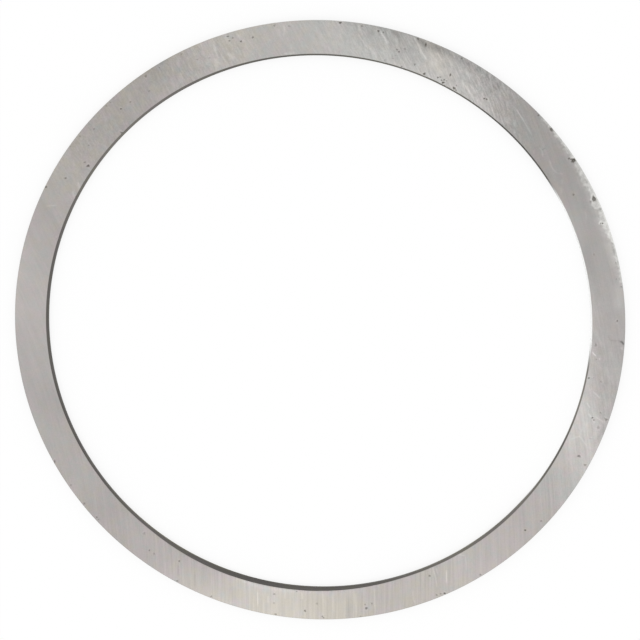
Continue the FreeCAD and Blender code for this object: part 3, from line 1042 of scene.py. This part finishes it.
class Steel(Nodes):
    """Ground steel: arcs of grinding lines, soft tints, painted sheen and shade, dark pits, a worn rim with a
    painted highlight, and a painted dark reflection and highlight in the bore.
    """

    def __init__(self, tree):
        super().__init__(tree)
        self.patterns = steel_patterns(self)
        self.dark = self.attribute("dark")
        self.dark_reflection = self.attribute("dark_reflection")
        self.painted_highlight = self.attribute("painted_highlight")
        # the share of the bore that carries the painted dark reflection, without its painted highlight
        self.painted_dark_share = self.combine("SUBTRACT", self.dark_reflection, self.painted_highlight, clamp=True)

    def change(self, name):
        """Add up the patterns that make one change."""
        parts = [self.remap(self.patterns[pattern], *ranges) for pattern, *ranges in CHANGES[name]]
        return self.total(*parts)

    def brightness(self):
        """Work out how bright the steel and the bore's painted dark reflection are, beside their plain
        colours, with painted sheen and shade.
        """
        wall = self.combine("MAXIMUM", self.attribute("wall"), self.dark_reflection)
        names = ("lines", "ripple_shading", "grain_and_ridge_shading")
        ground = [self.product(self.change(name), self.attribute(name)) for name in names]
        on_faces = self.product(self.total(*ground), self.combine("SUBTRACT", 1, wall))
        on_walls = self.product(self.change("turning"), wall)
        return self.total(on_faces, self.attribute("tone"), self.change("cloudiness"), on_walls, 1)

    def colour(self):
        """Tint the steel, and lay over it its wear with a painted highlight, its pits, and the bore's painted
        dark reflection and painted highlight.
        """
        brightness = self.brightness()
        tinge = self.attribute("tinge")
        warm = self.total(self.product(self.change("warm"), tinge), PLAIN_WARMTH)
        warm = self.total(warm, self.attribute("warm"), clamp=True)
        yellow = self.product(self.change("yellow"), tinge)
        yellow = self.total(yellow, self.attribute("yellow"), clamp=True)
        worn_and_highlight = self.product(self.attribute("worn_and_highlight"), self.change("worn_and_highlight"))
        worn_and_highlight = self.combine("MAXIMUM", worn_and_highlight, self.product(self.attribute("rim_highlight"), RIM_HIGHLIGHT_STRENGTH))
        face = self.mix(warm, COOL_STEEL, WARM_STEEL)
        face = self.mix(yellow, face, YELLOW_STEEL)
        face = self.mix(worn_and_highlight, face, WORN_HIGHLIGHT_STEEL)
        face = self.scale_colour(face, brightness)
        pit = self.scale_colour(PIT_BROWN, self.change("pit_brown"))
        face = self.mix(self.product(self.dark, self.change("pit_edge"), clamp=True), face, pit)
        dark_reflection = self.mix(warm, OLIVE_DARK_REFLECTION, PURPLE_DARK_REFLECTION)
        dark_reflection = self.mix(self.attribute("yellow"), dark_reflection, YELLOW_DARK_REFLECTION)
        dark_reflection = self.scale_colour(dark_reflection, brightness)
        return self.mix(self.painted_highlight, self.mix(self.dark_reflection, face, dark_reflection), HIGHLIGHT_STEEL)

    def roughness(self):
        """Make the painted dark reflection and the pits rougher, and the stretch with the painted highlight
        smoother.
        """
        dark_reflection = self.product(self.painted_dark_share, DARK_REFLECTION_ROUGHER)
        pits = self.product(self.dark, PIT_ROUGHER)
        rough = self.total(self.change("rough"), dark_reflection, pits)
        return self.combine("SUBTRACT", rough, self.product(self.painted_highlight, HIGHLIGHT_SMOOTHER), clamp=True)

    def relief(self):
        """Give the surface the fine relief of its grinding lines."""
        finer = self.total(self.patterns["fine_lines"], self.patterns["hairlines"])
        relief = self.total(self.product(finer, FINE_RELIEF), self.patterns["broad_lines"])
        inputs = {"Height": relief, "Strength": RELIEF_STRENGTH, "Distance": RELIEF_DEPTH}
        return self.add("ShaderNodeBump", inputs).outputs["Normal"]


def steel_material():
    """Make the ground steel's material."""
    material, steel = new_material("ground_steel", Steel)
    shader = steel.add("ShaderNodeBsdfPrincipled", {
        "Base Color": steel.colour(),
        "Metallic": steel.combine("SUBTRACT", 1, steel.painted_dark_share),
        "Roughness": steel.roughness(),
        "Normal": steel.relief(),
    })
    steel.add("ShaderNodeOutputMaterial", {"Surface": shader.outputs[0]})
    return material


def background_share(nodes):
    """Say whether a ray comes straight from the camera, from a gloss or through glass."""
    path = nodes.add("ShaderNodeLightPath").outputs
    names = ("Is Camera Ray", "Is Glossy Ray", "Is Transmission Ray")
    return nodes.combine("MAXIMUM", *[path[name] for name in names])


def build_floor():
    """Lay a pale floor that shows white, keeps a soft shadow, and is clear from below."""
    material, nodes = new_material("pale_floor")
    lit = nodes.add("ShaderNodeBsdfDiffuse", {"Color": FLOOR_COLOUR}).outputs[0]
    white = nodes.add("ShaderNodeEmission", {"Color": WHITE, "Strength": 1}).outputs[0]
    shown = nodes.mix_shaders(nodes.product(background_share(nodes), FLOOR_WHITE_SHARE), lit, white)
    clear = nodes.add("ShaderNodeBsdfTransparent").outputs[0]
    below = nodes.add("ShaderNodeNewGeometry").outputs["Backfacing"]
    nodes.add("ShaderNodeOutputMaterial", {"Surface": nodes.mix_shaders(below, shown, clear)})

    mesh = bpy.data.meshes.new("floor")
    disc = bmesh.new()
    bmesh.ops.create_circle(disc, cap_ends=True, segments=FLOOR_SIDES, radius=FLOOR_RADIUS)
    disc.to_mesh(mesh)
    disc.free()
    mesh.materials.append(material)
    floor = add_object("floor", mesh)
    floor.location.z = LOWEST.z - FLOOR_GAP


def light_scene():
    """Light the ring with a plain bright sky and a soft lamp over it."""
    world = bpy.data.worlds.new("sky")
    bpy.context.scene.world = world
    world.use_nodes = True
    nodes = Nodes(world.node_tree)
    sky = nodes.add("ShaderNodeBackground", {"Color": WHITE, "Strength": SKY_STRENGTH}).outputs[0]
    white = nodes.add("ShaderNodeBackground", {"Color": WHITE, "Strength": 1}).outputs[0]
    nodes.add("ShaderNodeOutputWorld", {"Surface": nodes.mix_shaders(background_share(nodes), sky, white)})

    lamp = bpy.data.lights.new("front_lamp", "AREA")
    lamp.shape = "DISK"
    lamp.size = LAMP_SIZE
    # a disc that gives off this much power looks as bright as a surface of that brightness
    lamp.energy = LAMP_BRIGHTNESS * math.pi * math.pi * (LAMP_SIZE / 2) ** 2
    away = Vector(LAMP_WAY).normalized()
    holder = add_object("front_lamp", lamp)
    holder.location = away * LAMP_DISTANCE
    holder.rotation_mode = "QUATERNION"
    holder.rotation_quaternion = away.to_track_quat("Z", "Y")


def place_camera():
    """Put the camera where the photo was taken from."""
    camera = bpy.data.cameras.new("camera")
    camera.sensor_width = SENSOR / MM
    camera.lens = LENS / MM
    camera.clip_start = CLIP_START
    camera.clip_end = CLIP_END
    holder = add_object("camera", camera)
    axes = Matrix(camera_axes()).transposed().to_4x4()
    holder.matrix_world = Matrix.Translation(CAMERA_PLACE) @ axes
    bpy.context.scene.camera = holder


place_camera()
light_scene()
build_floor()
ring = build_ring(steel_material())
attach(ring, "root")
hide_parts(NODE)

bpy.context.scene.view_settings.view_transform = "Standard"
